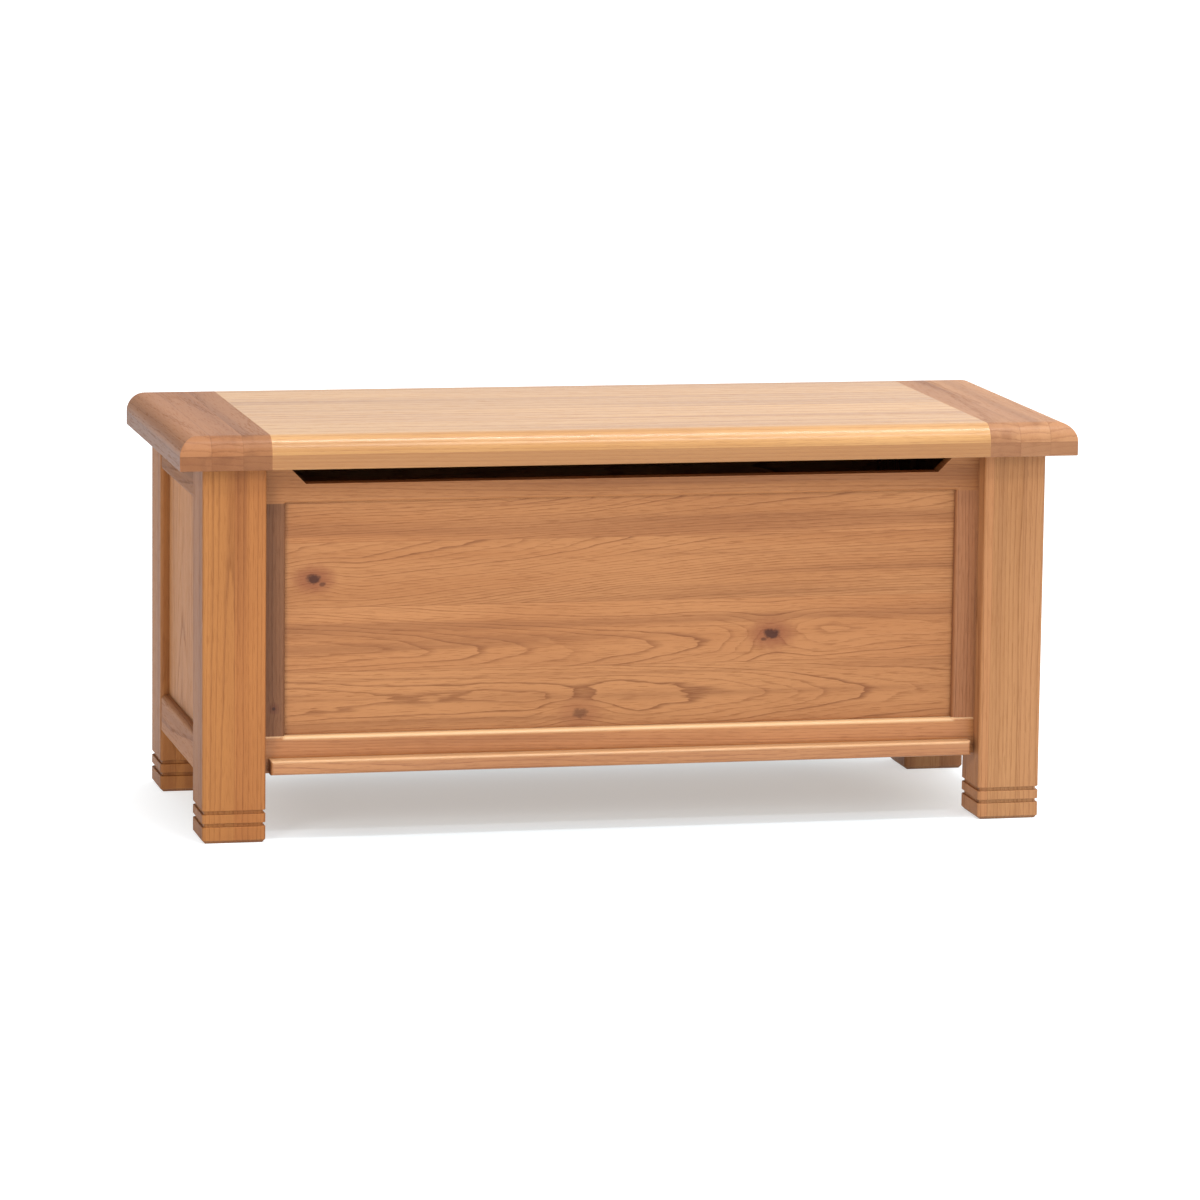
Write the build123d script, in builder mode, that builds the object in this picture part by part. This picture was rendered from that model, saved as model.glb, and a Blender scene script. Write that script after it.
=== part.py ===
from build123d import *
import os

# Oak blanket chest: four square legs, a rebated frame and panel on every side,
# a boarded floor and a thick boarded lid on two butt hinges.
# Millimetres. +X is the long way, the front faces -Y, +Z is up.
# The origin is the middle of the box that holds the whole chest, on the ground.

# ---- driving dimensions ----
LID_LENGTH = 1118.0
LID_DEPTH = 446.0
HEIGHT = 500.0
LID_THICKNESS = 40.6
LID_GAP = 0.4              # air between the closed lid and the carcass
END_OVERHANG = 32.0        # lid past the legs at each end
FRONT_OVERHANG = 28.0      # lid past the legs at the front, flush at the back
LID_ROUND = 23.0           # large round along the front and the ends of the lid
LID_LOWER_ROUND = 1.5
END_CAP_WIDTH = 112.0
LID_BOARDS = 4

LEG_SIZE = 78.0
LEG_ROUND = 4.5            # round on the long corners of a leg
FOOT_BEVEL = 4.0
FOOT_GROOVES = (22.5, 38.0)   # heights of the two turned-in rings
GROOVE_WIDTH = 4.5
GROOVE_DEPTH = 2.8
GROOVE_LIP = 0.9
GROOVE_ROUND = 3.5         # round on the corners at the bottom of a ring
CUT_PAST = 2.0             # how far a cutter stands outside the leg

FRAME_THICKNESS = 22.0
FRONT_RECESS = 28.0        # front frame behind the leg faces
SIDE_RECESS = 1.0
TOP_RAIL_HEIGHT = 48.0
BOTTOM_RAIL_Z = 80.0
BOTTOM_RAIL_HEIGHT = 45.0
STILE_WIDTH = 28.0
FRAME_ROUND = 6.0          # round on the inner edges of the frames
PANEL_INSET = 10.0         # panel face behind the frame face
PANEL_THICKNESS = 8.0
PANEL_TONGUE = 7.0         # panel edge inside its groove
PANEL_ROOM = 1.0           # room for the panel to swell

TENON_LENGTH = 24.0
TENON_THICKNESS = 10.0
TENON_SHOULDER = 6.0
TENON_OFF_GROOVE = 2.0     # wood left between a tenon and the panel groove
TENON_HORN = 10.0          # extra wood left above the top tenon

RECESS_DEPTH = 24.5        # finger recess in the top edge of the front top rail
RECESS_HALF_TOP = 421.0
RECESS_HALF_BOTTOM = 396.5

BASE_STRIP_HALF = 441.0
BASE_STRIP_HEIGHT = 18.0
BASE_STRIP_SETBACK = 10.0  # strip face behind the leg faces
BASE_STRIP_ROUND = 3.5

BEARER_DEPTH = 16.0
BEARER_Z = 84.0
LONG_BEARER_SCREWS = (-360.0, -120.0, 120.0, 360.0)
END_BEARER_SCREWS = (-70.0, 90.0)
FLOOR_Z = 100.0
FLOOR_THICKNESS = 12.0
FLOOR_BOARDS = 4

HINGE_X = 330.0            # middle of each hinge from the middle of the chest
LEAF_LENGTH = 70.0
LEAF_WIDTH = 19.0
LEAF_THICKNESS = 2.0
BARREL_RADIUS = 3.5
AXIS_BEHIND = 3.9          # hinge axis behind the back of the lid
PIN_RADIUS = 1.8
PIN_PLAY = 0.05
KNUCKLES = 5
KNUCKLE_GAP = 0.3
KNUCKLE_ROOT = 1.0         # overlap of a knuckle's web with its leaf
LEAF_BACK_OFF = 0.4        # leaf edge inside the back of the chest
LEAF_SCREW_PITCH = 25.2
LEAF_OUTER_SCREW_IN = 6.65 # outer screws from the back of the chest
LEAF_MIDDLE_SCREW_IN = 11.8
PIN_HEAD_RADIUS = 3.1
PIN_HEAD_HEIGHT = 1.4
PIN_HEAD_ROUND = 0.9

SCREW_HEAD_RADIUS = 3.4
SCREW_HEAD_HEIGHT = 1.6
SCREW_RADIUS = 1.8
SCREW_ROOM = 0.1
SCREW_TIP = 3.0
SCREW_POINT_RADIUS = 0.3
SCREW_HOLE_DEEPER = 0.3
SCREW_SLOT_HALF_LENGTH = 1.9
SCREW_SLOT_HALF_WIDTH = 0.4
SCREW_SLOT_DEPTH = 1.0
LEAF_SCREW_LENGTH = 18.0
BEARER_SCREW_LENGTH = 30.0

LID_TONGUE_LENGTH = 14.0
LID_TONGUE_THICKNESS = 12.0
LID_TONGUE_STOP = 30.0     # the tongue stops short of the front and back edges
NEAR = 0.01                # reach when picking edges at a height or depth

# ---- places worked out from them ----
LID_FRONT = -(LID_DEPTH + AXIS_BEHIND + BARREL_RADIUS) / 2
BACK = LID_FRONT + LID_DEPTH
FRONT = LID_FRONT + FRONT_OVERHANG
HALF = LID_LENGTH / 2 - END_OVERHANG
INNER_HALF = HALF - LEG_SIZE
LID_Z = HEIGHT - LID_THICKNESS
TOP = LID_Z - LID_GAP
AXIS_Y = BACK + AXIS_BEHIND
AXIS_Z = TOP + LID_GAP / 2

FRONT_FACE = FRONT + FRONT_RECESS
FRONT_INSIDE = FRONT_FACE + FRAME_THICKNESS
BACK_INSIDE = BACK - FRAME_THICKNESS
SIDE_FACE = HALF - SIDE_RECESS
SIDE_INSIDE = SIDE_FACE - FRAME_THICKNESS
OPENING_LOW = BOTTOM_RAIL_Z + BOTTOM_RAIL_HEIGHT
OPENING_HIGH = TOP - TOP_RAIL_HEIGHT
OPENING_HALF = INNER_HALF - STILE_WIDTH
TENON_INSET = (FRAME_THICKNESS - TENON_THICKNESS) / 2
LEG_BACK_OF_FRONT = FRONT + LEG_SIZE
LEG_FRONT_OF_BACK = BACK - LEG_SIZE


def block(x, y, z, mode=Mode.ADD):
    """A box between two values on each axis."""
    with Locations(((x[0] + x[1]) / 2, (y[0] + y[1]) / 2, (z[0] + z[1]) / 2)):
        Box(abs(x[1] - x[0]), abs(y[1] - y[0]), abs(z[1] - z[0]), mode=mode)


def save(builder, name):
    """Label a finished piece and write its file."""
    builder.part.label = name
    export_step(builder.part, f"parts/{name}.step")


def either(side, near, far):
    """The span from near to far on the left (-1) or the right (+1) side, low value first."""
    return tuple(sorted((side * near, side * far)))


# ---- screws ----
def screw_shape(length, room=0.0):
    """A countersunk wood screw driven towards -Z with its head at z = 0, or its hole."""
    head = SCREW_HEAD_RADIUS + room
    shank = SCREW_RADIUS + room
    end = -length - (SCREW_HOLE_DEEPER if room else 0.0)
    with BuildPart() as screw:
        with BuildSketch(Plane.XZ):
            with BuildLine():
                Polyline(
                    (0, 0),
                    (head, 0),
                    (shank, -SCREW_HEAD_HEIGHT - room),
                    (shank, end + SCREW_TIP),
                    (SCREW_POINT_RADIUS, end),
                    (0, end),
                    close=True,
                )
            make_face()
        revolve(axis=Axis.Z)
        if room == 0.0:
            slot_length = (-SCREW_SLOT_HALF_LENGTH, SCREW_SLOT_HALF_LENGTH)
            slot_width = (-SCREW_SLOT_HALF_WIDTH, SCREW_SLOT_HALF_WIDTH)
            block(slot_length, slot_width, (-SCREW_SLOT_DEPTH, 0), Mode.SUBTRACT)
            block(slot_width, slot_length, (-SCREW_SLOT_DEPTH, 0), Mode.SUBTRACT)
    return screw.part


LEAF_SCREW = screw_shape(LEAF_SCREW_LENGTH)
LEAF_SCREW_HOLE = screw_shape(LEAF_SCREW_LENGTH, SCREW_ROOM)
BEARER_SCREW = screw_shape(BEARER_SCREW_LENGTH)
BEARER_SCREW_HOLE = screw_shape(BEARER_SCREW_LENGTH, SCREW_ROOM)


def place_all(shape, places, mode=Mode.ADD):
    """Put one shape at every place in the list."""
    with Locations(*places):
        add(shape, mode=mode)


def leaf_screw_places(hinge_x, lid_side):
    """Three screws in a hinge leaf: down into the rail or up into the lid."""
    z = TOP + LID_GAP if lid_side else TOP
    turn = (180, 0, 0) if lid_side else (0, 0, 0)
    rows = (
        (-LEAF_SCREW_PITCH, LEAF_OUTER_SCREW_IN),
        (0, LEAF_MIDDLE_SCREW_IN),
        (LEAF_SCREW_PITCH, LEAF_OUTER_SCREW_IN),
    )
    return [Location((hinge_x + dx, BACK - inward, z), turn) for dx, inward in rows]


BEARER_SCREW_Z = BEARER_Z + (FLOOR_Z - BEARER_Z) / 2
FRONT_SCREW_PLACES = [
    Location((x, FRONT_INSIDE + BEARER_DEPTH, BEARER_SCREW_Z), (-90, 0, 0))
    for x in LONG_BEARER_SCREWS
]
BACK_SCREW_PLACES = [
    Location((x, BACK_INSIDE - BEARER_DEPTH, BEARER_SCREW_Z), (90, 0, 0))
    for x in LONG_BEARER_SCREWS
]


def side_screw_places(side):
    """Two screws through an end bearer into the end rail."""
    x = side * (SIDE_INSIDE - BEARER_DEPTH)
    return [Location((x, y, BEARER_SCREW_Z), (0, -90 * side, 0)) for y in END_BEARER_SCREWS]


# ---- legs ----
def front_rail_tenon(side, z):
    """Span of the mortise and tenon between the front rails and a leg."""
    y = (FRONT_FACE + TENON_INSET, FRONT_INSIDE - TENON_INSET)
    return either(side, INNER_HALF, INNER_HALF + TENON_LENGTH), y, z


def back_rail_tenon(side, z):
    """Span of the mortise and tenon between the back rails and a leg."""
    y = (BACK_INSIDE + TENON_INSET, BACK - TENON_INSET)
    return either(side, INNER_HALF, INNER_HALF + TENON_LENGTH), y, z


def side_rail_tenon(side, front, z):
    """Span of the mortise and tenon between an end rail and a leg."""
    x = either(side, SIDE_INSIDE + TENON_INSET, SIDE_FACE - TENON_INSET)
    if front:
        return x, (LEG_BACK_OF_FRONT - TENON_LENGTH, LEG_BACK_OF_FRONT), z
    return x, (LEG_FRONT_OF_BACK, LEG_FRONT_OF_BACK + TENON_LENGTH), z


TENON_HEIGHTS = (
    (BOTTOM_RAIL_Z + TENON_SHOULDER, OPENING_LOW - PANEL_TONGUE - PANEL_ROOM - TENON_OFF_GROOVE),
    (OPENING_HIGH + PANEL_TONGUE + PANEL_ROOM + TENON_OFF_GROOVE, TOP - TENON_SHOULDER - TENON_HORN),
)


def panel_groove(grow):
    """Heights of the panels with their tongues, or of their grooves."""
    return (OPENING_LOW - PANEL_TONGUE - grow, OPENING_HIGH + PANEL_TONGUE + grow)


def make_leg(name, side, front):
    """A square leg with two rings cut above the foot, mortised for the rails."""
    x_middle = side * (HALF - LEG_SIZE / 2)
    y_middle = FRONT + LEG_SIZE / 2 if front else BACK - LEG_SIZE / 2
    low = Plane((x_middle, y_middle, 0))
    with BuildPart() as leg:
        with BuildSketch(low):
            RectangleRounded(LEG_SIZE, LEG_SIZE, LEG_ROUND)
        extrude(amount=TOP)
        for height in FOOT_GROOVES:
            core = LEG_SIZE - 2 * GROOVE_DEPTH
            with BuildSketch(low.offset(height - GROOVE_WIDTH / 2)):
                Rectangle(LEG_SIZE + CUT_PAST, LEG_SIZE + CUT_PAST)
                RectangleRounded(core, core, GROOVE_ROUND, mode=Mode.SUBTRACT)
            extrude(amount=GROOVE_WIDTH, mode=Mode.SUBTRACT)
        lips = []
        for height in FOOT_GROOVES:
            for z in (height - GROOVE_WIDTH / 2, height + GROOVE_WIDTH / 2):
                ring = leg.edges().filter_by_position(Axis.Z, z - NEAR, z + NEAR)
                reach = LEG_SIZE / 2 - GROOVE_DEPTH / 2
                centre = Vector(x_middle, y_middle, z)
                lips += [e for e in ring if (e.center() - centre).length > reach]
        fillet(lips, GROOVE_LIP)
        chamfer(leg.edges().group_by(Axis.Z)[0], FOOT_BEVEL)
        for z in TENON_HEIGHTS:
            joint = front_rail_tenon if front else back_rail_tenon
            block(*joint(side, z), Mode.SUBTRACT)
            block(*side_rail_tenon(side, front, z), Mode.SUBTRACT)
        x_panel = either(side, SIDE_FACE - PANEL_INSET - PANEL_THICKNESS, SIDE_FACE - PANEL_INSET)
        depth = PANEL_TONGUE + PANEL_ROOM
        if front:
            y_panel = (LEG_BACK_OF_FRONT - depth, LEG_BACK_OF_FRONT)
        else:
            y_panel = (LEG_FRONT_OF_BACK, LEG_FRONT_OF_BACK + depth)
        block(x_panel, y_panel, panel_groove(PANEL_ROOM), Mode.SUBTRACT)
    save(leg, name)


# ---- front and back frames ----
def long_frame(face, inward):
    """A whole front or back frame before it is parted into rails and stiles."""
    y = tuple(sorted((face, face + inward * FRAME_THICKNESS)))
    with BuildPart() as frame:
        block((-INNER_HALF, INNER_HALF), y, (BOTTOM_RAIL_Z, TOP))
        block((-OPENING_HALF, OPENING_HALF), y, (OPENING_LOW, OPENING_HIGH), Mode.SUBTRACT)
        at_face = frame.edges().filter_by_position(Axis.Y, face - NEAR, face + NEAR)
        inner = at_face.filter_by_position(Axis.Z, OPENING_LOW - NEAR, OPENING_HIGH + NEAR)
        fillet(inner.filter_by_position(Axis.X, -OPENING_HALF - NEAR, OPENING_HALF + NEAR), FRAME_ROUND)
        groove = PANEL_TONGUE + PANEL_ROOM
        y_panel = sorted((face + inward * PANEL_INSET, face + inward * (PANEL_INSET + PANEL_THICKNESS)))
        across = (-OPENING_HALF - groove, OPENING_HALF + groove)
        block(across, y_panel, panel_groove(PANEL_ROOM), Mode.SUBTRACT)
    return frame.part


def make_long_rails(where, frame, y, joint, screw_places):
    """Top and bottom rails of the front or the back, tenoned into the legs."""
    with BuildPart() as top_rail:
        add(frame)
        block((-INNER_HALF, INNER_HALF), y, (OPENING_HIGH, TOP), Mode.INTERSECT)
        for side in (-1, 1):
            block(*joint(side, TENON_HEIGHTS[1]))
        if where == "front":
            with BuildSketch(Plane.XZ.offset(-y[1])):
                with BuildLine():
                    Polyline(
                        (-RECESS_HALF_TOP, TOP),
                        (-RECESS_HALF_BOTTOM, TOP - RECESS_DEPTH),
                        (RECESS_HALF_BOTTOM, TOP - RECESS_DEPTH),
                        (RECESS_HALF_TOP, TOP),
                        close=True,
                    )
                make_face()
            extrude(amount=FRAME_THICKNESS, mode=Mode.SUBTRACT)
        else:
            for hinge_x in (-HINGE_X, HINGE_X):
                half = LEAF_LENGTH / 2
                block((hinge_x - half, hinge_x + half), (BACK - LEAF_WIDTH, BACK),
                      (TOP - LEAF_THICKNESS, TOP), Mode.SUBTRACT)
                place_all(LEAF_SCREW_HOLE, leaf_screw_places(hinge_x, False), Mode.SUBTRACT)
    save(top_rail, f"{where}_top_rail")

    with BuildPart() as bottom_rail:
        add(frame)
        block((-INNER_HALF, INNER_HALF), y, (BOTTOM_RAIL_Z, OPENING_LOW), Mode.INTERSECT)
        for side in (-1, 1):
            block(*joint(side, TENON_HEIGHTS[0]))
        place_all(BEARER_SCREW_HOLE, screw_places, Mode.SUBTRACT)
    save(bottom_rail, f"{where}_bottom_rail")


def make_stiles(where, frame, y):
    """The two upright members beside the panel."""
    for word, side in (("left", -1), ("right", 1)):
        with BuildPart() as stile:
            add(frame)
            block(either(side, OPENING_HALF, INNER_HALF), y, (OPENING_LOW, OPENING_HIGH), Mode.INTERSECT)
        save(stile, f"{where}_{word}_stile")


def make_long_panel(where, face, inward):
    """The thin panel held in the grooves of a front or back frame."""
    y = sorted((face + inward * PANEL_INSET, face + inward * (PANEL_INSET + PANEL_THICKNESS)))
    reach = OPENING_HALF + PANEL_TONGUE
    with BuildPart() as panel:
        block((-reach, reach), y, panel_groove(0))
    save(panel, f"{where}_panel")


# ---- ends ----
def make_end(word, side):
    """Two rails and a panel between the front and the back leg."""
    x = either(side, SIDE_INSIDE, SIDE_FACE)
    x_panel = either(side, SIDE_FACE - PANEL_INSET - PANEL_THICKNESS, SIDE_FACE - PANEL_INSET)
    y = (LEG_BACK_OF_FRONT, LEG_FRONT_OF_BACK)
    spans = (("bottom_rail", (BOTTOM_RAIL_Z, OPENING_LOW), OPENING_LOW),
             ("top_rail", (OPENING_HIGH, TOP), OPENING_HIGH))
    for index, (piece, z, edge_z) in enumerate(spans):
        with BuildPart() as rail:
            block(x, y, z)
            arris = rail.edges().filter_by(Axis.Y).filter_by_position(Axis.Z, edge_z - NEAR, edge_z + NEAR)
            fillet(arris.sort_by(Axis.X)[-1 if side > 0 else 0], FRAME_ROUND)
            for front in (True, False):
                block(*side_rail_tenon(side, front, TENON_HEIGHTS[index]))
            block(x_panel, y, panel_groove(PANEL_ROOM), Mode.SUBTRACT)
            if piece == "bottom_rail":
                place_all(BEARER_SCREW_HOLE, side_screw_places(side), Mode.SUBTRACT)
        save(rail, f"{word}_{piece}")
    with BuildPart() as panel:
        block(x_panel, (y[0] - PANEL_TONGUE, y[1] + PANEL_TONGUE), panel_groove(0))
    save(panel, f"{word}_panel")


# ---- base strip, bearers and floor ----
def make_base_strip():
    """The strip that runs along the foot of the front, a little short of the legs."""
    y = (FRONT + BASE_STRIP_SETBACK, FRONT_FACE)
    with BuildPart() as strip:
        block((-BASE_STRIP_HALF, BASE_STRIP_HALF), y, (BOTTOM_RAIL_Z, BOTTOM_RAIL_Z + BASE_STRIP_HEIGHT))
        fillet(strip.faces().sort_by(Axis.Y)[0].edges(), BASE_STRIP_ROUND)
    save(strip, "front_base_strip")


def make_bearer(name, x, y, places):
    """A batten screwed inside a bottom rail to carry the floor."""
    with BuildPart() as bearer:
        block(x, y, (BEARER_Z, FLOOR_Z))
        place_all(BEARER_SCREW_HOLE, places, Mode.SUBTRACT)
    save(bearer, f"{name}_floor_bearer")
    with BuildPart() as screws:
        place_all(BEARER_SCREW, places)
    save(screws, f"{name}_bearer_screws")


def make_floor():
    """Boards laid lengthwise on the bearers, notched round the legs."""
    width = (BACK_INSIDE - FRONT_INSIDE) / FLOOR_BOARDS
    z = (FLOOR_Z, FLOOR_Z + FLOOR_THICKNESS)
    for number in range(FLOOR_BOARDS):
        start = FRONT_INSIDE + number * width
        with BuildPart() as board:
            block((-SIDE_INSIDE, SIDE_INSIDE), (start, start + width), z)
            if number in (0, FLOOR_BOARDS - 1):
                leg_y = (FRONT, LEG_BACK_OF_FRONT) if number == 0 else (LEG_FRONT_OF_BACK, BACK)
                for side in (-1, 1):
                    block(either(side, INNER_HALF, HALF), leg_y, z, Mode.SUBTRACT)
        save(board, f"floor_board_{number + 1}")


# ---- lid ----
def lid_tongue(side, y):
    """Span of the tongue on the board ends and of the groove in an end cap."""
    middle = LID_Z + LID_THICKNESS / 2
    reach = LID_LENGTH / 2 - END_CAP_WIDTH
    x = either(side, reach, reach + LID_TONGUE_LENGTH)
    return x, y, (middle - LID_TONGUE_THICKNESS / 2, middle + LID_TONGUE_THICKNESS / 2)


def make_lid_boards():
    """The long boards between the end caps; the front one carries the large round."""
    width = LID_DEPTH / LID_BOARDS
    reach = LID_LENGTH / 2 - END_CAP_WIDTH
    for number in range(LID_BOARDS):
        start = LID_FRONT + number * width
        with BuildPart() as board:
            block((-reach, reach), (start, start + width), (LID_Z, HEIGHT))
            if number == 0:
                front = board.faces().sort_by(Axis.Y)[0].edges().filter_by(Axis.X)
                fillet(front.sort_by(Axis.Z)[-1], LID_ROUND)
                low = board.faces().sort_by(Axis.Y)[0].edges().filter_by(Axis.X)
                fillet(low.sort_by(Axis.Z)[0], LID_LOWER_ROUND)
            tongue_y = (max(start, LID_FRONT + LID_TONGUE_STOP), min(start + width, BACK - LID_TONGUE_STOP))
            for side in (-1, 1):
                block(*lid_tongue(side, tongue_y))
            if number == LID_BOARDS - 1:
                for hinge_x in (-HINGE_X, HINGE_X):
                    half = LEAF_LENGTH / 2
                    block((hinge_x - half, hinge_x + half), (BACK - LEAF_WIDTH, BACK),
                          (LID_Z, LID_Z + LEAF_THICKNESS), Mode.SUBTRACT)
                    place_all(LEAF_SCREW_HOLE, leaf_screw_places(hinge_x, True), Mode.SUBTRACT)
        save(board, f"lid_board_{number + 1}")


def make_end_cap(word, side):
    """The cross board at an end of the lid, rounded on its end and its front."""
    outer = LID_LENGTH / 2
    with BuildPart() as cap:
        block(either(side, outer - END_CAP_WIDTH, outer), (LID_FRONT, BACK), (LID_Z, HEIGHT))
        for level, size in ((-1, LID_ROUND), (0, LID_LOWER_ROUND)):
            edges = cap.edges().group_by(Axis.Z)[level]
            end = edges.filter_by(Axis.Y).sort_by(Axis.X)[-1 if side > 0 else 0]
            front = edges.filter_by(Axis.X).sort_by(Axis.Y)[0]
            fillet([end, front], size)
        block(*lid_tongue(side, (LID_FRONT + LID_TONGUE_STOP, BACK - LID_TONGUE_STOP)), Mode.SUBTRACT)
    save(cap, f"lid_{word}_end_cap")


# ---- hinges ----
def make_leaf(name, hinge_x, lid_side):
    """One leaf of a butt hinge with its own share of the five knuckles."""
    half = LEAF_LENGTH / 2
    low = LID_Z if lid_side else TOP - LEAF_THICKNESS
    pitch = LEAF_LENGTH / KNUCKLES
    knuckle_plane = Plane((hinge_x - half, AXIS_Y, AXIS_Z), x_dir=(0, 1, 0), z_dir=(1, 0, 0))
    with BuildPart() as leaf:
        block((hinge_x - half, hinge_x + half), (BACK - LEAF_WIDTH, BACK - LEAF_BACK_OFF),
              (low, low + LEAF_THICKNESS))
        for number in range(KNUCKLES):
            if (number % 2 == 1) != lid_side:
                continue
            start = number * pitch + (KNUCKLE_GAP / 2 if number else 0)
            end = (number + 1) * pitch - (KNUCKLE_GAP / 2 if number < KNUCKLES - 1 else 0)
            span = (hinge_x - half + start, hinge_x - half + end)
            block(span, (BACK - KNUCKLE_ROOT, AXIS_Y), (low, low + LEAF_THICKNESS))
            with BuildSketch(knuckle_plane.offset(start)):
                Circle(BARREL_RADIUS)
            extrude(amount=end - start)
        with BuildSketch(knuckle_plane):
            Circle(PIN_RADIUS + PIN_PLAY)
        extrude(amount=LEAF_LENGTH, mode=Mode.SUBTRACT)
        place_all(LEAF_SCREW_HOLE, leaf_screw_places(hinge_x, lid_side), Mode.SUBTRACT)
    save(leaf, name)


def make_hinge(word, hinge_x):
    """Two leaves, the pin with a small head at each end, and the screws of each leaf."""
    make_leaf(f"{word}_hinge_rail_leaf", hinge_x, False)
    make_leaf(f"{word}_hinge_lid_leaf", hinge_x, True)
    half = LEAF_LENGTH / 2
    with BuildPart() as pin:
        with BuildSketch(Plane((hinge_x - half, AXIS_Y, AXIS_Z), x_dir=(0, 1, 0), z_dir=(1, 0, 0))):
            Circle(PIN_RADIUS)
        extrude(amount=LEAF_LENGTH)
        for x, way in ((hinge_x - half, -1), (hinge_x + half, 1)):
            with BuildSketch(Plane((x, AXIS_Y, AXIS_Z), x_dir=(0, 1, 0), z_dir=(way, 0, 0))):
                Circle(PIN_HEAD_RADIUS)
            extrude(amount=PIN_HEAD_HEIGHT)
            rim = pin.edges().filter_by(GeomType.CIRCLE).sort_by(Axis.X)[-1 if way > 0 else 0]
            fillet(rim, PIN_HEAD_ROUND)
    save(pin, f"{word}_hinge_pin")
    for side_word, lid_side in (("rail", False), ("lid", True)):
        with BuildPart() as screws:
            place_all(LEAF_SCREW, leaf_screw_places(hinge_x, lid_side))
        save(screws, f"{word}_hinge_{side_word}_screws")


# ---- the whole chest ----
os.makedirs("parts", exist_ok=True)

for end_word, end_side in (("left", -1), ("right", 1)):
    make_leg(f"front_{end_word}_leg", end_side, True)
    make_leg(f"back_{end_word}_leg", end_side, False)
    make_end(end_word, end_side)
    make_end_cap(end_word, end_side)
    make_hinge(end_word, end_side * HINGE_X)
    make_bearer(end_word, either(end_side, SIDE_INSIDE - BEARER_DEPTH, SIDE_INSIDE),
                (LEG_BACK_OF_FRONT, LEG_FRONT_OF_BACK), side_screw_places(end_side))

front_frame = long_frame(FRONT_FACE, 1)
make_long_rails("front", front_frame, (FRONT_FACE, FRONT_INSIDE), front_rail_tenon, FRONT_SCREW_PLACES)
make_stiles("front", front_frame, (FRONT_FACE, FRONT_INSIDE))
make_long_panel("front", FRONT_FACE, 1)

back_frame = long_frame(BACK, -1)
make_long_rails("back", back_frame, (BACK_INSIDE, BACK), back_rail_tenon, BACK_SCREW_PLACES)
make_stiles("back", back_frame, (BACK_INSIDE, BACK))
make_long_panel("back", BACK, -1)

make_base_strip()
make_bearer("front", (-INNER_HALF, INNER_HALF), (FRONT_INSIDE, FRONT_INSIDE + BEARER_DEPTH),
            FRONT_SCREW_PLACES)
make_bearer("back", (-INNER_HALF, INNER_HALF), (BACK_INSIDE - BEARER_DEPTH, BACK_INSIDE),
            BACK_SCREW_PLACES)
make_floor()
make_lid_boards()
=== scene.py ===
import math
import random

import bpy
from mathutils import Matrix, Vector


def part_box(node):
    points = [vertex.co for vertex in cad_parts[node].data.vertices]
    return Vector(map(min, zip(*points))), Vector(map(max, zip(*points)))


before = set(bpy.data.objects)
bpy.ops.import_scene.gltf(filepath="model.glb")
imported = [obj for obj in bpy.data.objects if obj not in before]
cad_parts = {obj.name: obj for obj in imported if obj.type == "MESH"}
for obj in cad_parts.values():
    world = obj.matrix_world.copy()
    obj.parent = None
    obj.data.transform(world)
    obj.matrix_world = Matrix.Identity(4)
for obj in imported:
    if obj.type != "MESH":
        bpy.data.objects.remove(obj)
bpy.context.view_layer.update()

# Oak blanket chest: every CAD node stays and gets its own oak, brass or steel.
# Metres in the row frame. Wood is worked out in three directions: along the grain,
# across the face and into the board. Colours are linear.

# ---------------------------------------------------------------- node graphs

WHITE = (1.0, 1.0, 1.0)


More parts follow.
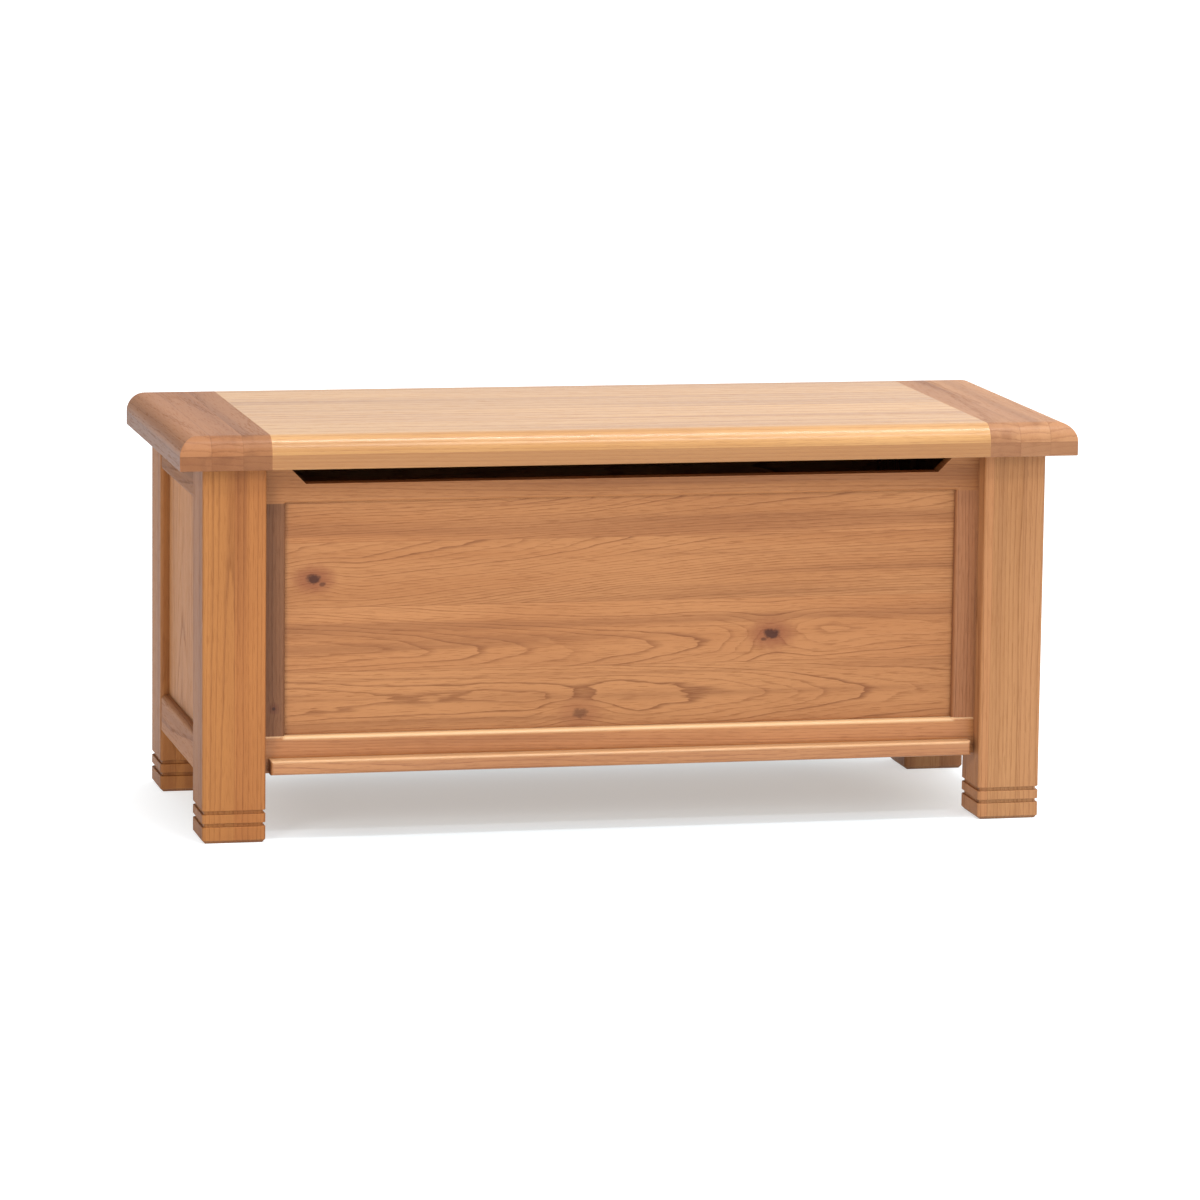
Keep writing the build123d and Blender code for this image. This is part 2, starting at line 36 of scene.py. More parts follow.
class Graph:
    """Short names for the few shader nodes that the materials use."""

    def __init__(self, tree):
        self.tree = tree

    def node(self, kind, **values):
        made = self.tree.nodes.new(kind)
        for key, value in values.items():
            setattr(made, key, value)
        return made

    def join(self, source, socket):
        """Link a socket, or set a plain value."""
        if isinstance(source, bpy.types.NodeSocket):
            self.tree.links.new(source, socket)
        else:
            socket.default_value = source

    def fill(self, made, values):
        """Give a node its inputs, from the first on."""
        for value, socket in zip(values, made.inputs):
            self.join(value, socket)
        return made

    def math(self, operation, *values, clamp=False):
        return self.fill(self.node("ShaderNodeMath", operation=operation, use_clamp=clamp), values).outputs[0]

    def vector(self, operation, *values):
        made = self.fill(self.node("ShaderNodeVectorMath", operation=operation), values)
        is_number = operation in ("LENGTH", "DOT_PRODUCT")
        return made.outputs["Value" if is_number else "Vector"]

    def combine(self, x, y, z):
        return self.fill(self.node("ShaderNodeCombineXYZ"), (x, y, z)).outputs[0]

    def separate(self, vector):
        return self.fill(self.node("ShaderNodeSeparateXYZ"), (vector,)).outputs

    def coordinates(self, kind):
        return self.node("ShaderNodeTexCoord").outputs[kind]

    def noise(self, vector, pattern, detail=2.0, rough=0.5):
        """Noise that varies pattern times a metre: one number, or one for each direction."""
        made = self.node("ShaderNodeTexNoise")
        scale = pattern
        if isinstance(pattern, tuple):
            vector = self.vector("MULTIPLY", vector, pattern)
            scale = 1.0
        self.join(vector, made.inputs["Vector"])
        made.inputs["Scale"].default_value = scale
        made.inputs["Detail"].default_value = detail
        made.inputs["Roughness"].default_value = rough
        return made.outputs[0]

    def random_of(self, value):
        made = self.node("ShaderNodeTexWhiteNoise", noise_dimensions="1D")
        self.join(value, made.inputs["W"])
        return made.outputs["Value"]

    def step(self, value, low, high, start=0.0, end=1.0):
        """A smooth step from start to end as the value goes from low to high."""
        made = self.node("ShaderNodeMapRange", interpolation_type="SMOOTHSTEP")
        return self.fill(made, (value, low, high, start, end)).outputs[0]

    def mix(self, amount, first, second, blend="MIX"):
        made = self.node("ShaderNodeMix", data_type="RGBA", blend_type=blend)
        self.join(amount, made.inputs["Factor"])
        for colour, letter in ((first, "A"), (second, "B")):
            is_socket = isinstance(colour, bpy.types.NodeSocket)
            self.join(colour if is_socket else (*colour, 1.0), made.inputs[letter])
        return made.outputs["Result"]

    def blend_in(self, where, strength, colour, other):
        """Mix another colour into the first, only where the socket says."""
        return self.mix(self.math("MULTIPLY", where, strength), colour, other)

    def crevices(self, reach):
        """1 in the open, falling towards 0 in the corners within reach."""
        made = self.node("ShaderNodeAmbientOcclusion", samples=4)
        made.inputs["Distance"].default_value = reach
        return made.outputs["AO"]

    def rounded_normal(self, radius):
        made = self.node("ShaderNodeBevel", samples=4)
        made.inputs["Radius"].default_value = radius
        return made.outputs[0]

    def bump(self, height, strength, distance):
        made = self.node("ShaderNodeBump")
        made.inputs["Strength"].default_value = strength
        made.inputs["Distance"].default_value = distance
        self.join(height, made.inputs["Height"])
        return made.outputs[0]


def new_material(name):
    material = bpy.data.materials.new(name)
    material.use_nodes = True
    tree = material.node_tree
    tree.nodes.clear()
    graph = Graph(tree)
    shader = graph.node("ShaderNodeBsdfPrincipled")
    output = graph.node("ShaderNodeOutputMaterial")
    tree.links.new(shader.outputs[0], output.inputs["Surface"])
    return material, graph, shader


# ---------------------------------------------------------------- oak

# name: (pale, middle, dark)
OAK = {
    "leg": ((0.42, 0.194, 0.078), (0.33, 0.137, 0.048), (0.20, 0.072, 0.023)),
    "amber_leg": ((0.40, 0.156, 0.040), (0.29, 0.098, 0.023), (0.175, 0.052, 0.012)),
    "rail": ((0.45, 0.190, 0.068), (0.37, 0.145, 0.047), (0.23, 0.080, 0.027)),
    "stile": ((0.37, 0.155, 0.064), (0.29, 0.112, 0.044), (0.18, 0.064, 0.025)),
    "panel": ((0.48, 0.210, 0.078), (0.40, 0.158, 0.053), (0.21, 0.070, 0.023)),
    "end_panel": ((0.47, 0.205, 0.075), (0.40, 0.163, 0.054), (0.29, 0.108, 0.034)),
    "end_rail": ((0.37, 0.150, 0.050), (0.30, 0.112, 0.035), (0.19, 0.064, 0.020)),
    "strip": ((0.56, 0.250, 0.100), (0.45, 0.175, 0.065), (0.28, 0.095, 0.036)),
    "lid_board": ((0.53, 0.288, 0.110), (0.44, 0.215, 0.070), (0.29, 0.118, 0.037)),
    # painted sheen: the paler end-cap tone below, used on the right cap; the darker end-cap tone is the
    # shaded copy for the left cap
    "sheen_pale_end_cap": ((0.415, 0.205, 0.094), (0.33, 0.145, 0.062), (0.20, 0.078, 0.032)),
    "end_cap": ((0.39, 0.165, 0.064), (0.31, 0.117, 0.040), (0.19, 0.064, 0.021)),
    "floor": ((0.52, 0.31, 0.16), (0.43, 0.235, 0.11), (0.29, 0.14, 0.06)),
    "softwood": ((0.66, 0.47, 0.27), (0.57, 0.37, 0.19), (0.42, 0.23, 0.10)),
}

# patterns: how often they vary in a metre along the grain, across the face and into the board
DRIFT = (1.2, 5.5, 5.5)
WOBBLE = (7.0, 42.0, 42.0)
TREMBLE = (30.0, 260.0, 260.0)
PORES = (42.0, 1150.0, 1150.0)
FINE_PORES = (120.0, 2600.0, 2600.0)
CLOUDS = (2.2, 14.0, 14.0)
BANDS = (0.7, 36.0, 36.0)
STREAKS = (1.1, 95.0, 95.0)
FLECKS = (55.0, 330.0, 330.0)
KNOT_OUTLINE = (160.0, 160.0, 160.0)
RUBBING = 55.0

# growth rings, and how far the patterns move them
RING_WIDTH = 0.0046
DRIFT_REACH = 0.085
WOBBLE_REACH = 0.0075
TREMBLE_REACH = 0.0009
PLAIN_BOARD = 0.11         # width that the pith of a board without glued strips is placed by
DEPTH_SQUASH = 0.55        # rings are taken this much flatter than round

# how strongly each feature shows in the colour
RING_DARKNESS = 1.1
LATE_WOOD_PALENESS = 0.22
PORE_DARKNESS = 0.42
FINE_PORE_DARKNESS = 0.15
FLECK_PALENESS = 0.14
SEAM_DARKNESS = 0.45
LOWER_BOARD_DARKNESS = 0.50
GLUE_LINE_DARKNESS = 0.55
KNOT_HALO_STRENGTH = 0.62
KNOT_CORE_STRENGTH = 0.90
EDGE_PALENESS = 0.28

NODE_SHIFT = 4             # how far a node's wood is moved along the grain at most
BOARD_SHIFT = 3.7          # how far the pattern jumps from one glued strip to the next
LOWER_BOARD_SHIFT = (1.9, 0.7, 0.3)
SEAM_WIDTH = 0.0007
GLUE_LINE_WIDTH = 0.0011
# reach of the painted shade in the corners
CREVICE_REACH = 0.012
EDGE_RADIUS = 0.0022       # rubbed edges
ARRIS_RADIUS = 0.005       # painted highlight: a cream line on the upward rounded edges of the lower rail and the strip
ARRIS_HIGHLIGHT_COLOUR = (0.86, 0.56, 0.30)


class Knot:
    """A knot at a place on a board, with the grain bending round it."""

    def __init__(self, place, size, stretch=1.5, depth=1.0):
        self.place = place
        self.size = size
        self.stretch = stretch
        self.depth = depth


def grain_space(graph, grain, shift):
    """Row coordinates, and the same turned so that X runs along the grain and moved by the node's shift."""
    coords = graph.coordinates("Object")
    x, y, z = graph.separate(coords)
    turned = {"X": (x, z, y), "Y": (y, x, z), "Z": (z, x, y)}[grain]
    return coords, graph.vector("ADD", graph.combine(*turned), shift)


def two_chances(graph, number, seed):
    """Two random values for a numbered strip of one node."""
    return (graph.random_of(graph.math("ADD", number, seed * 0.37)),
            graph.random_of(graph.math("ADD", number, seed * 0.91 + 40.0)))


def glued_strips(graph, side, strip, strip_from):
    """Each strip's number, the place across it from 0 to 1, and the seam between strips."""
    position = graph.math("DIVIDE", graph.math("SUBTRACT", side, strip_from), strip)
    local = graph.math("FRACT", position)
    to_seam = graph.math("MINIMUM", local, graph.math("SUBTRACT", 1.0, local))
    seam = graph.step(graph.math("MULTIPLY", to_seam, strip), 0.0, SEAM_WIDTH, 1.0, 0.0)
    return graph.math("FLOOR", position), local, seam


def lower_board(graph, coords, place, layer_top):
    """Wood of its own under a glue line at the height layer_top."""
    height = graph.separate(coords)[2]
    under = graph.math("LESS_THAN", height, layer_top)
    to_layer = graph.math("ABSOLUTE", graph.math("SUBTRACT", height, layer_top))
    glue_line = graph.step(to_layer, 0.0, GLUE_LINE_WIDTH, 1.0, 0.0)
    below = graph.node("ShaderNodeVectorMath", operation="SCALE")
    graph.join(LOWER_BOARD_SHIFT, below.inputs["Vector"])
    graph.join(under, below.inputs["Scale"])
    return graph.vector("ADD", place, below.outputs["Vector"]), under, glue_line


def knot_marks(graph, coords, grain, knots, field):
    """The rings pushed aside by the knots, and where the knots' cores and halos are."""
    along_axis, across_axis = {"X": (0, 2), "Y": (1, 0), "Z": (2, 0)}[grain]
    cores, halos = 0.0, 0.0
    for knot in knots:
        squeeze = [0.35, 0.35, 0.35]
        squeeze[along_axis] = 1.0 / knot.stretch
        squeeze[across_axis] = 1.0
        offset = graph.vector("SUBTRACT", coords, knot.place)
        distance = graph.vector("LENGTH", graph.vector("MULTIPLY", offset, tuple(squeeze)))
        ragged = graph.math("MULTIPLY", graph.noise(coords, KNOT_OUTLINE), knot.size * 0.9)
        away = graph.math("ADD", distance, graph.math("SUBTRACT", ragged, knot.size * 0.45))
        push = graph.step(distance, 0.0, knot.size * 6.5, 1.0, 0.0)
        field = graph.math("MULTIPLY_ADD", push, knot.size * 0.9, field)
        core = graph.step(away, knot.size * 0.45, knot.size, 1.0, 0.0)
        halo = graph.step(away, knot.size * 0.9, knot.size * 3.2, 1.0, 0.0)
        cores = graph.math("MAXIMUM", cores, graph.math("MULTIPLY", core, knot.depth))
        halos = graph.math("MAXIMUM", halos, graph.math("MULTIPLY", halo, knot.depth))
    return field, cores, halos


def shade_wear_and_highlight(graph, colour, place, pale, dark, arris):
    """Painted shade darkens the crevices, real wear rubs the edges paler, and a painted highlight can lie on
    the upward rounded edges.
    """
    # painted shade: the colour darkens in the corners, where shade falls
    shade = graph.step(graph.crevices(CREVICE_REACH), 0.20, 0.70, 0.50, 0.0)
    colour = graph.mix(shade, colour, tuple(value * 0.45 for value in dark))
    true_normal = graph.node("ShaderNodeNewGeometry").outputs["Normal"]
    turn = graph.vector("DOT_PRODUCT", graph.rounded_normal(EDGE_RADIUS), true_normal)
    patchy = graph.step(graph.noise(place, RUBBING, detail=3.0), 0.38, 0.62)
    worn = graph.math("MULTIPLY", graph.step(turn, 0.985, 0.90), patchy)
    colour = graph.blend_in(worn, EDGE_PALENESS, colour, tuple(min(1.0, value * 1.25) for value in pale))
    if arris:
        # painted highlight: a cream line where the rounded edges face up
        upward = graph.separate(graph.rounded_normal(ARRIS_RADIUS))[2]
        colour = graph.mix(graph.step(upward, 0.10, 0.60, 0.0, arris), colour, ARRIS_HIGHLIGHT_COLOUR)
    return colour, worn


def oak(name, tone, grain, seed, strip=None, strip_from=0.0, strip_axis=1, spread=0.2, layer_top=None,
        figure=1.0, ring_width=RING_WIDTH, knots=(), tint=1.0, pith=0.06, taper=0.012, gloss=0.52,
        coat=0.04, contrast=1.0, arris=0.0):
    """Lacquered oak: growth rings, open pores, flecks, glued strips, knots and worn edges, with painted shade
    in the crevices and, if asked, a painted highlight on upward rounded edges.

    grain is the axis that the grain follows. strip is the width of glued strips, counted from
    strip_from across the face (strip_axis 1) or into the board (2), and spread is how much their
    tones differ. layer_top is the height of a glue line with another board under it. figure is how
    far the rings wander, pith how far off the board their middle lies, and taper how fast they run
    out along the grain. gloss is the roughness. The last argument sets how strong a painted
    highlight is on the upward-facing rounded edges."""
    material, graph, shader = new_material(name)
    pale, middle, dark = OAK[tone]
    shift = (random.Random(seed).uniform(-NODE_SHIFT, NODE_SHIFT), 0.0, 0.0)
    coords, place = grain_space(graph, grain, shift)
    along, across, deep = graph.separate(place)

    # each glued strip has its own piece of the tree and its own tone
    number = 0.0
    if strip:
        number, local, seam = glued_strips(graph, across if strip_axis == 1 else deep, strip, strip_from)
    chance, chance_two = two_chances(graph, number, seed)
    jump = graph.combine(graph.math("MULTIPLY", chance, BOARD_SHIFT),
                         graph.math("MULTIPLY", chance_two, BOARD_SHIFT), seed * 0.13)
    place = graph.vector("ADD", place, jump)
    if layer_top is not None:
        place, under, glue_line = lower_board(graph, coords, place, layer_top)

    # growth rings round a pith that lies off the board, wandering along the grain
    side_place, other = across, deep
    if strip:
        side_place = graph.math("MULTIPLY", graph.math("SUBTRACT", local, 0.5), strip)
        other = deep if strip_axis == 1 else across
    width = strip or PLAIN_BOARD
    centre = graph.math("MULTIPLY_ADD", chance_two, width * 1.6, -width * 0.8)
    sideways = graph.math("SUBTRACT", side_place, centre)
    inward = graph.math("ADD", graph.math("MULTIPLY", other, DEPTH_SQUASH), pith)
    radius = graph.vector("LENGTH", graph.combine(sideways, inward, 0.0))
    field = graph.math("ADD", radius, graph.math("MULTIPLY", along, taper))
    field = graph.math("MULTIPLY_ADD", graph.noise(place, DRIFT, detail=1.0), DRIFT_REACH * figure, field)
    field = graph.math("MULTIPLY_ADD", graph.noise(place, WOBBLE), WOBBLE_REACH * figure, field)
    field = graph.math("MULTIPLY_ADD", graph.noise(place, TREMBLE), TREMBLE_REACH, field)
    if knots:
        field, knot_core, knot_halo = knot_marks(graph, coords, grain, knots, field)
    ring_place = graph.math("DIVIDE", field, ring_width)
    ring = graph.math("FRACT", ring_place)
    ring_tone = graph.random_of(graph.math("FLOOR", ring_place))
    early = graph.math("MULTIPLY", graph.step(ring, 0.0, 0.36, 1.0, 0.0), graph.step(ring, 0.0, 0.05))
    late = graph.step(ring, 0.35, 1.0)

    # open pores: short dark strokes, thickest in the early wood
    strokes = graph.noise(place, PORES, detail=1.0)
    pores = graph.step(graph.math("MULTIPLY_ADD", early, 0.13, strokes), 0.585, 0.68)
    fine_pores = graph.step(graph.noise(place, FINE_PORES, detail=1.0), 0.60, 0.72)
    cloud = graph.noise(place, CLOUDS, detail=3.0)
    band = graph.noise(place, BANDS)
    streak = graph.noise(place, STREAKS, detail=3.0, rough=0.6)
    fleck = graph.step(graph.noise(place, FLECKS, detail=1.0), 0.66, 0.76)

    # colour
    colour = graph.mix(graph.step(cloud, 0.30, 0.72), middle, pale)
    colour = graph.mix(graph.step(band, 0.50, 0.68, 0.0, 0.50), colour, dark)
    colour = graph.mix(graph.step(band, 0.50, 0.34, 0.0, 0.40), colour, pale)
    lines = graph.math("MULTIPLY", early, graph.math("MULTIPLY_ADD", ring_tone, 0.75, 0.08))
    lines = graph.math("MULTIPLY", lines, RING_DARKNESS * contrast, clamp=True)
    colour = graph.mix(lines, colour, dark)
    colour = graph.blend_in(late, LATE_WOOD_PALENESS, colour, pale)
    colour = graph.mix(graph.step(streak, 0.56, 0.80, 0.0, 0.42 * contrast), colour, dark)
    colour = graph.mix(graph.step(streak, 0.42, 0.22, 0.0, 0.35), colour, pale)
    colour = graph.blend_in(pores, PORE_DARKNESS * contrast, colour, dark)
    colour = graph.blend_in(fine_pores, FINE_PORE_DARKNESS, colour, dark)
    colour = graph.blend_in(fleck, FLECK_PALENESS, colour, pale)
    if strip:
        tone_shift = graph.math("MULTIPLY_ADD", chance, spread, 1.0 - spread / 2)
        warm_shift = graph.math("MULTIPLY_ADD", chance_two, spread * 0.4, 1.0 - spread * 0.2)
        cooler = graph.math("MULTIPLY", tone_shift, warm_shift)
        colour = graph.mix(1.0, colour, graph.combine(tone_shift, cooler, cooler), "MULTIPLY")
        colour = graph.blend_in(seam, SEAM_DARKNESS, colour, dark)
    if layer_top is not None:
        colour = graph.blend_in(under, LOWER_BOARD_DARKNESS, colour, dark)
        colour = graph.blend_in(glue_line, GLUE_LINE_DARKNESS, colour, dark)
    if knots:
        stained = (dark[0] * 0.95, dark[1] * 0.66, dark[2] * 0.80)
        burnt = (dark[0] * 0.24, dark[1] * 0.16, dark[2] * 0.20)
        colour = graph.blend_in(knot_halo, KNOT_HALO_STRENGTH, colour, stained)
        colour = graph.blend_in(knot_core, KNOT_CORE_STRENGTH, colour, burnt)
    if tint != 1.0:
        colour = graph.mix(1.0, colour, (tint, tint, tint), "MULTIPLY")
    colour, worn = shade_wear_and_highlight(graph, colour, place, pale, dark, arris)
    graph.join(colour, shader.inputs["Base Color"])

    # gloss and relief
    rough = graph.math("MULTIPLY_ADD", pores, 0.16, gloss)
    rough = graph.math("MULTIPLY_ADD", graph.math("SUBTRACT", cloud, 0.5), 0.14, rough)
    rough = graph.math("MULTIPLY_ADD", worn, 0.10, rough)
    graph.join(rough, shader.inputs["Roughness"])
    relief = graph.math("MULTIPLY_ADD", pores, -0.75, graph.math("MULTIPLY", early, -0.30))
    relief = graph.math("MULTIPLY_ADD", fine_pores, -0.25, relief)
    relief = graph.math("MULTIPLY_ADD", streak, 0.20, relief)
    if strip:
        relief = graph.math("MULTIPLY_ADD", seam, -0.5, relief)
    if knots:
        relief = graph.math("MULTIPLY_ADD", knot_core, -0.8, relief)
    graph.join(graph.bump(relief, 0.35, 0.00045), shader.inputs["Normal"])
    shader.inputs["Specular IOR Level"].default_value = 0.26
    shader.inputs["Coat Weight"].default_value = coat
    shader.inputs["Coat Roughness"].default_value = 0.22
    return material


# ---------------------------------------------------------------- metal

# patterns of the metal, as often as this in a metre
BRUSHING = (90.0, 2600.0, 2600.0)
SCRATCHES = (900.0, 120.0, 700.0)
TARNISH = 160.0
TARNISH_REACH = 0.003


def metal(name, pale, dark, roughness):
    """Plated metal with fine brushing, tarnish in the corners and a few scratches."""
    material, graph, shader = new_material(name)
    coords = graph.coordinates("Object")
    brushed = graph.noise(coords, BRUSHING)
    clouds = graph.noise(coords, TARNISH, detail=3.0)
    scratches = graph.step(graph.noise(coords, SCRATCHES, detail=1.0), 0.66, 0.72)
    colour = graph.mix(graph.step(clouds, 0.35, 0.70), pale, dark)
    corners = graph.step(graph.crevices(TARNISH_REACH), 0.2, 0.9, 0.7, 0.0)
    colour = graph.mix(corners, colour, tuple(value * 0.35 for value in dark))
    colour = graph.blend_in(scratches, 0.25, colour, pale)
    graph.join(colour, shader.inputs["Base Color"])
    shader.inputs["Metallic"].default_value = 1.0
    rough = graph.math("MULTIPLY_ADD", brushed, 0.16, roughness)
    rough = graph.math("MULTIPLY_ADD", clouds, 0.10, rough)
    graph.join(rough, shader.inputs["Roughness"])
    graph.join(graph.bump(brushed, 0.18, 0.0001), shader.inputs["Normal"])
    return material


# ---------------------------------------------------------------- dressing the nodes

WOOD_EDGE = 0.0009         # width of the small bevel on sharp edges
LID_EDGE = 0.0007
LEAF_EDGE = 0.0002
SHARP = math.radians(50)

PANEL_BOARD = 0.0795       # width of the boards that the long panels are glued from
END_PANEL_BOARD = 0.085
END_CAP_STRIP = 0.0385
LID_GLUE_LINE = 0.43       # glue line of the lid's thickened edge, as a part of its thickness


def node_object(name):
    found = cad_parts[name]
    return found if isinstance(found, bpy.types.Object) else bpy.data.objects[name]


def dress(name, material, edge=WOOD_EDGE):
    """Give a CAD node its material and break its sharp edges a little."""
    piece = node_object(name)
    piece.data.materials.clear()
    piece.data.materials.append(material)
    if edge:
        soften = piece.modifiers.new("broken_edges", "BEVEL")
        soften.width = edge
        soften.segments = 2
        soften.limit_method = "ANGLE"
        soften.angle_limit = SHARP


def dress_wood(name, tone, grain, seed, edge=WOOD_EDGE, wood="oak", **look):
    dress(name, oak(f"{wood}_{name}", tone, grain, seed, **look), edge)


def panel_height(part):
    """A height on the front panel, from 0 at its lower visible edge to 1 at its upper."""
    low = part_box("front_bottom_rail")[1][2]
    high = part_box("front_top_rail")[0][2]
    return low + (high - low) * part


def on_front_panel(x, part):
    return (x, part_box("front_panel")[0][1], panel_height(part))


def in_front_stile(word, part):
    low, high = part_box(f"front_{word}_stile")
    return ((low[0] + high[0]) / 2, low[1], panel_height(part))


def dress_legs():
    """Legs are glued from two thick strips, seen as stripes of tone on the faces."""
    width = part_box("front_left_leg")[1][0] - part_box("front_left_leg")[0][0]
    strip = width / 2
    legs = (  # name, tone, part of a strip that the first seam is moved by, tint
        ("front_left_leg", "amber_leg", 0.0, 1.0),
        ("front_right_leg", "leg", 0.3, 1.0),
        ("back_left_leg", "amber_leg", 0.5, 0.95),
        # painted shade: tint 0.74 darkens the back right leg, which stands in shade under the chest
        ("back_right_leg", "leg", 0.2, 0.74),
    )
    for number, (name, tone, shift, tint) in enumerate(legs):
        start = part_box(name)[0][0] + shift * strip
        dress_wood(name, tone, "Z", seed=11 + number * 7, strip=strip, strip_from=start, tint=tint,
                   figure=0.35, pith=0.09, taper=0.002, contrast=0.65, gloss=0.58, coat=0.03)


def dress_front():
    """Front frame, panel and the strip along its foot."""
    floor_of_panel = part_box("front_panel")[0][2]
    knots = (
        Knot(on_front_panel(-0.385, 0.668), 0.0075),
        Knot(on_front_panel(-0.374, 0.645), 0.0035, depth=0.7),
        Knot(on_front_panel(0.190, 0.385), 0.0085),
        Knot(on_front_panel(0.180, 0.362), 0.0030, depth=0.7),
        Knot(on_front_panel(-0.052, 0.060), 0.0080, depth=0.55),
    )
    dress_wood("front_panel", "panel", "X", seed=23, strip=PANEL_BOARD, strip_from=floor_of_panel + 0.004,
               spread=0.05, tint=0.93, knots=knots, figure=0.85, ring_width=0.0031, taper=0.03,
               pith=0.045, contrast=0.95)
    dress_wood("front_top_rail", "rail", "X", seed=31, figure=0.5, tint=0.88)
    # painted highlight: the lower rail and the base strip get a cream line on their upward rounded edges
    dress_wood("front_bottom_rail", "rail", "X", seed=37, figure=0.8, tint=1.06, arris=0.85, gloss=0.36,
               coat=0.2)
    stile_knot = Knot(in_front_stile("left", 0.12), 0.0030, stretch=1.0, depth=0.8)
    # painted shadow: tint 0.58 darkens the left stile as the shadow of the left leg falling on it
    dress_wood("front_left_stile", "stile", "Z", seed=41, figure=0.5, tint=0.58, knots=(stile_knot,))
    dress_wood("front_right_stile", "stile", "Z", seed=43, figure=0.5)
    dress_wood("front_base_strip", "strip", "X", seed=47, figure=0.8, tint=0.78, arris=0.5, gloss=0.36,
               coat=0.2)


def dress_ends_and_back():
    for number, word in enumerate(("left", "right")):
        dress_wood(f"{word}_panel", "end_panel", "Z", seed=53 + number * 5, strip=END_PANEL_BOARD,
                   strip_axis=2, figure=0.6, taper=0.03, spread=0.08, tint=0.92, gloss=0.60, coat=0.0)
        # painted shade: tint 0.78 darkens the top rails of the ends, in shade under the lid's overhang
        dress_wood(f"{word}_top_rail", "end_rail", "Y", seed=61 + number * 5, figure=0.4, tint=0.78,
                   gloss=0.68, coat=0.0)
        dress_wood(f"{word}_bottom_rail", "end_rail", "Y", seed=67 + number * 5, figure=0.5, tint=1.05,
                   gloss=0.62, coat=0.0)
    dress_wood("back_panel", "panel", "X", seed=83, strip=PANEL_BOARD,
               strip_from=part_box("back_panel")[0][2], taper=0.03, pith=0.03)
    for number, piece in enumerate(("top_rail", "bottom_rail")):
        dress_wood(f"back_{piece}", "rail", "X", seed=89 + number * 4, figure=0.5)
    for number, word in enumerate(("left", "right")):
        dress_wood(f"back_{word}_stile", "stile", "Z", seed=97 + number * 4, figure=0.5)


def dress_lid():
    """Long boards and end caps, both thickened along the edges by boards glued underneath."""
    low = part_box("lid_left_end_cap")[0][2]
    glue_height = low + (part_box("lid_left_end_cap")[1][2] - low) * LID_GLUE_LINE
    for number in range(1, 5):
        dress_wood(f"lid_board_{number}", "lid_board", "X", seed=101 + number * 6, edge=LID_EDGE,
                   figure=0.14, taper=0.0015, pith=0.2, tint=1.0 - 0.03 * (number % 2), contrast=0.7,
                   gloss=0.38, coat=0.34, layer_top=glue_height)
    # lit and shaded copies: the right cap's paler tone is a painted sheen, the left cap's darker tone and
    # tint 0.84 a painted shade
    caps = (("left", "end_cap", 0.84), ("right", "sheen_pale_end_cap", 1.0))
    for number, (word, tone, tint) in enumerate(caps):
        name = f"lid_{word}_end_cap"
        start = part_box(name)[0][0]
        dress_wood(name, tone, "Y", seed=131 + number * 8, edge=LID_EDGE, strip=END_CAP_STRIP,
                   strip_from=start, tint=tint, figure=0.22, taper=0.002, pith=0.16, spread=0.12,
                   contrast=0.5, gloss=0.50, coat=0.06, layer_top=glue_height)


def dress_inside():
    for number in range(1, 5):
        dress_wood(f"floor_board_{number}", "floor", "X", seed=151 + number * 3)
    for number, (where, grain) in enumerate((("front", "X"), ("back", "X"), ("left", "Y"), ("right", "Y"))):
        dress_wood(f"{where}_floor_bearer", "softwood", grain, seed=171 + number * 3, wood="pine",
                   gloss=0.6, coat=0.0)


def dress_hardware():
    brass = metal("brass_leaf", (0.72, 0.50, 0.21), (0.50, 0.31, 0.11), 0.24)
    pin = metal("brass_pin", (0.66, 0.45, 0.18), (0.44, 0.27, 0.09), 0.20)
    steel = metal("plated_screw", (0.66, 0.60, 0.46), (0.42, 0.37, 0.27), 0.26)
    for word in ("left", "right"):
        for leaf in ("rail", "lid"):
            dress(f"{word}_hinge_{leaf}_leaf", brass, edge=LEAF_EDGE)
            dress(f"{word}_hinge_{leaf}_screws", steel, edge=0)
        dress(f"{word}_hinge_pin", pin, edge=0)
    for where in ("front", "back", "left", "right"):
        dress(f"{where}_bearer_screws", steel, edge=0)


dress_legs()
dress_front()
dress_ends_and_back()
dress_lid()
dress_inside()
dress_hardware()


# ---------------------------------------------------------------- stage, light and camera

FLOOR_HALF = 60.0
FLOOR_CLOUDS = 3.0
NEAR_GLOW = 0.36           # painted light: glow of the floor, kept low under the chest as a painted shadow, up to GLOW_FROM from its middle and from GLOW_TO outwards, strong enough to keep the floor white
FAR_GLOW = 0.95            # and from GLOW_TO outwards
GLOW_FROM = 0.33
GLOW_TO = 0.75

LEFT_SKY = 0.22            # the surroundings are darker on the left than on the right
RIGHT_SKY = 1.15


def make_floor():
    """A pale floor with a faint unevenness and a painted glow, dim under the chest as a painted shadow, far
    wider than the view.
    """
    mesh = bpy.data.meshes.new("studio_floor")
    corners = [(x * FLOOR_HALF, y * FLOOR_HALF, 0) for x, y in ((-1, -1), (1, -1), (1, 1), (-1, 1))]
    mesh.from_pydata(corners, [], [(0, 1, 2, 3)])
    floor = bpy.data.objects.new("studio_floor", mesh)
    bpy.context.scene.collection.objects.link(floor)
    material, graph, shader = new_material("pale_floor")
    coords = graph.coordinates("Object")
    clouds = graph.noise(coords, FLOOR_CLOUDS)
    graph.join(graph.mix(clouds, (0.50, 0.56, 0.60), (0.51, 0.57, 0.61)), shader.inputs["Base Color"])
    shader.inputs["Emission Color"].default_value = (*WHITE, 1.0)
    # painted light: the floor glows, weakest under the chest as a painted shadow
    glow = graph.step(graph.vector("LENGTH", coords), GLOW_FROM, GLOW_TO, NEAR_GLOW, FAR_GLOW)
    graph.join(glow, shader.inputs["Emission Strength"])
    shader.inputs["Roughness"].default_value = 0.9
    shader.inputs["Specular IOR Level"].default_value = 0.1
    mesh.materials.append(material)


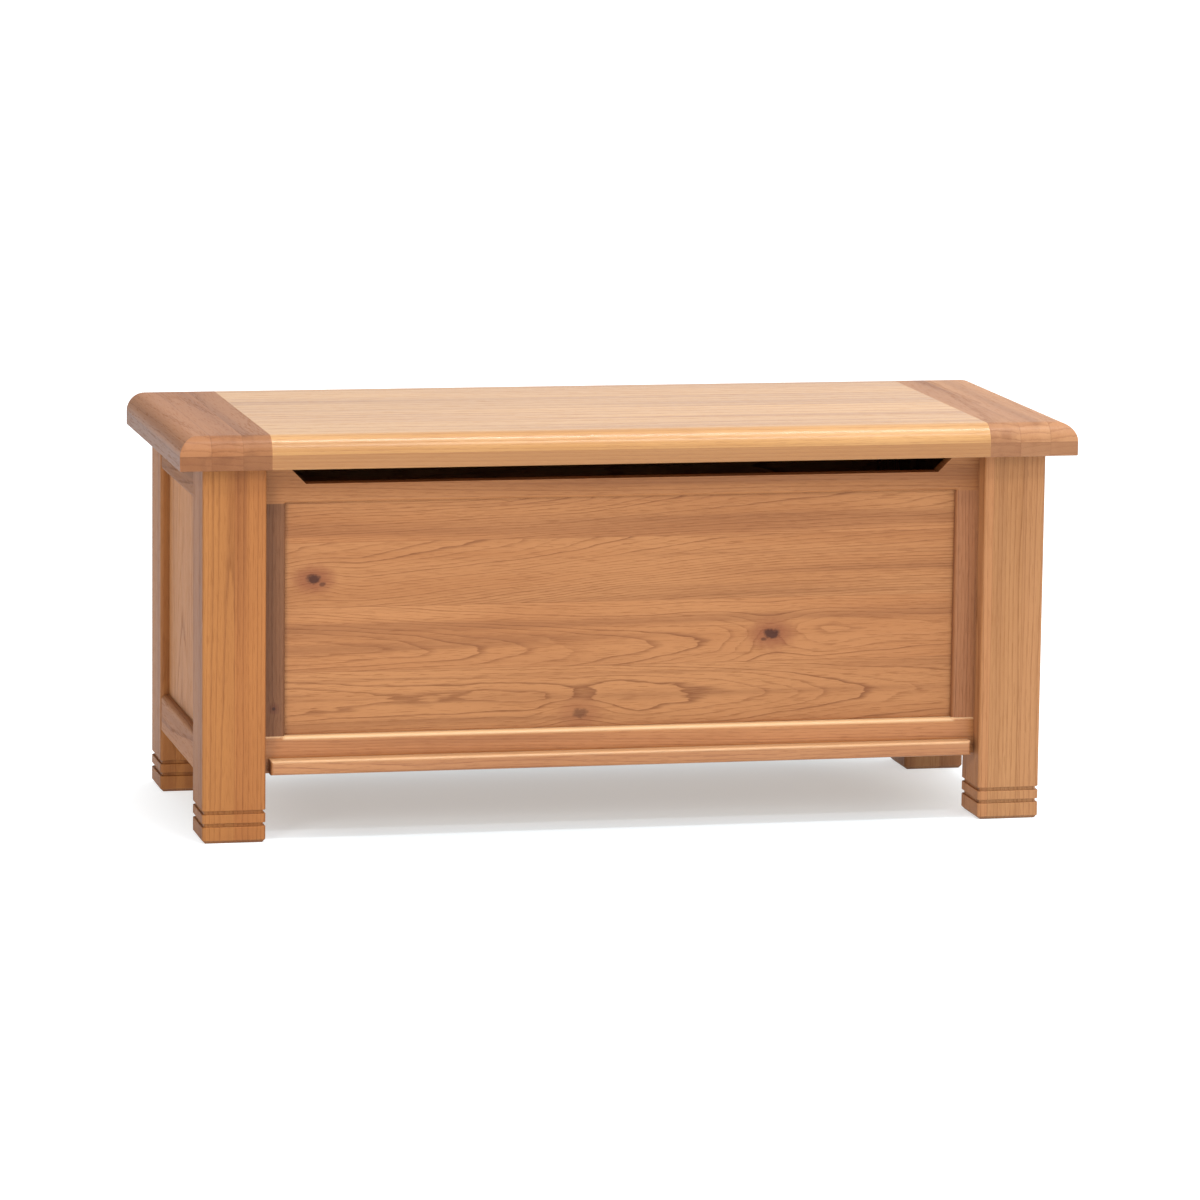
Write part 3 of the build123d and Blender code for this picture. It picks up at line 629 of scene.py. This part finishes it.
def soft_light(name, place, target, size, power, colour=WHITE):
    """A soft box, size[0] wide and size[1] high, that looks at the target."""
    lamp = bpy.data.lights.new(name, "AREA")
    lamp.shape = "RECTANGLE"
    lamp.size, lamp.size_y = size
    lamp.energy = power
    lamp.color = colour
    holder = bpy.data.objects.new(name, lamp)
    bpy.context.scene.collection.objects.link(holder)
    holder.location = place
    holder.rotation_euler = (Vector(target) - Vector(place)).to_track_quat("-Z", "Y").to_euler()


def make_light():
    """White surroundings, and three soft boxes: left, high in front, and above for the lid's shine."""
    world = bpy.data.worlds.new("studio")
    world.use_nodes = True
    background = world.node_tree.nodes["Background"]
    background.inputs["Color"].default_value = (*WHITE, 1.0)
    graph = Graph(world.node_tree)
    heading = graph.separate(graph.coordinates("Generated"))[0]
    graph.join(graph.step(heading, -0.75, 0.60, LEFT_SKY, RIGHT_SKY), background.inputs["Strength"])
    bpy.context.scene.world = world
    middle = (0.0, 0.0, 0.25)
    soft_light("key_from_left", (-2.6, -3.3, 2.0), middle, (1.2, 1.2), 62.0, (1.0, 0.97, 0.93))
    soft_light("front_high", (0.75, -2.6, 3.3), middle, (1.5, 0.4), 38.0)
    soft_light("top", (0.6, -0.55, 3.0), (0.6, 0.0, 0.25), (2.0, 0.4), 58.0)


def make_camera():
    """The camera stands off the left front corner a little above the lid, with a long lens."""
    yaw = -0.2224
    pitch = 0.1577
    roll = 0.0122
    distance = 7.553
    aim = Vector((0.008, 0.0, 0.2561))
    back = Vector((math.sin(yaw) * math.cos(pitch), -math.cos(yaw) * math.cos(pitch), math.sin(pitch)))
    right = Vector((math.cos(yaw), math.sin(yaw), 0.0))
    up = back.cross(right)
    tilt = Matrix.Rotation(roll, 3, back)
    turned = Matrix((tilt @ right, tilt @ up, back)).transposed()
    lens = bpy.data.cameras.new("camera")
    lens.sensor_width = 36.0
    lens.lens = 180.5
    lens.clip_end = 60.0
    camera = bpy.data.objects.new("camera", lens)
    bpy.context.scene.collection.objects.link(camera)
    camera.matrix_world = Matrix.Translation(aim + back * distance) @ turned.to_4x4()
    bpy.context.scene.camera = camera


make_floor()
make_light()
make_camera()
bpy.context.scene.view_settings.view_transform = "Standard"
